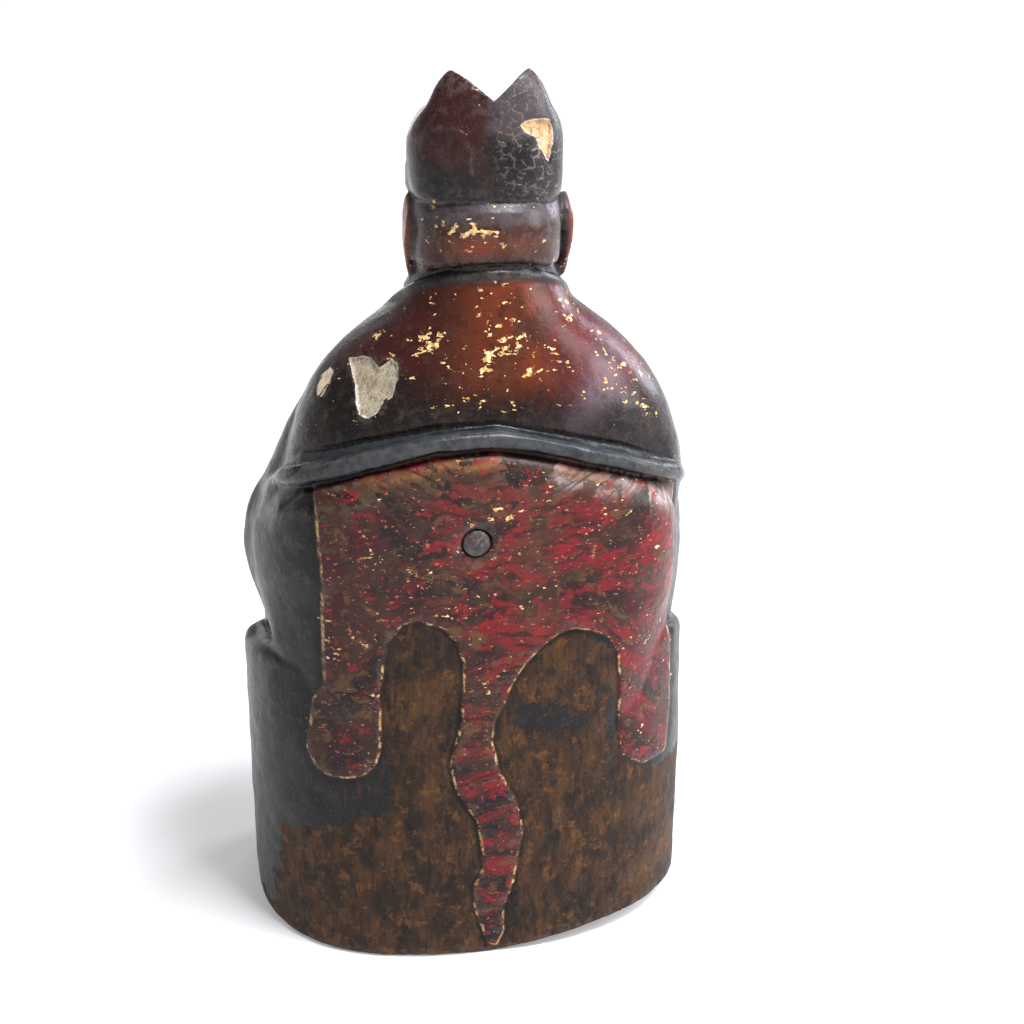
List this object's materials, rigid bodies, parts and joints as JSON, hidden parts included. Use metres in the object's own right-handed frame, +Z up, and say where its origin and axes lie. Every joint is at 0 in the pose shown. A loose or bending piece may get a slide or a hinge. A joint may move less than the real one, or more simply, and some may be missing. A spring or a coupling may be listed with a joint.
{
  "type": "carved deity figure",
  "caption": "Seated robed figure in a two-lobed hat, in a horseshoe chair on a rounded box plinth, carved from one block of wood, with a plug in its back.",
  "frame": {"origin": "centre of the bounding box of the whole part, at the height of its underside", "axes": "+Z up; the figure faces -Y; +X is the figure's left"},
  "size_m": [0.15, 0.104, 0.2799],
  "materials": {
    "lacquered_wood": "Worn dark lacquer over red ground with gold flakes, bare brown wood where it is lost.",
    "peg_wood": "Bare grey-brown wood, rubbed."
  },
  "bodies": {
    "root": {"carved_figure": "lacquered_wood", "back_peg": "peg_wood"}
  },
  "joints": []
}
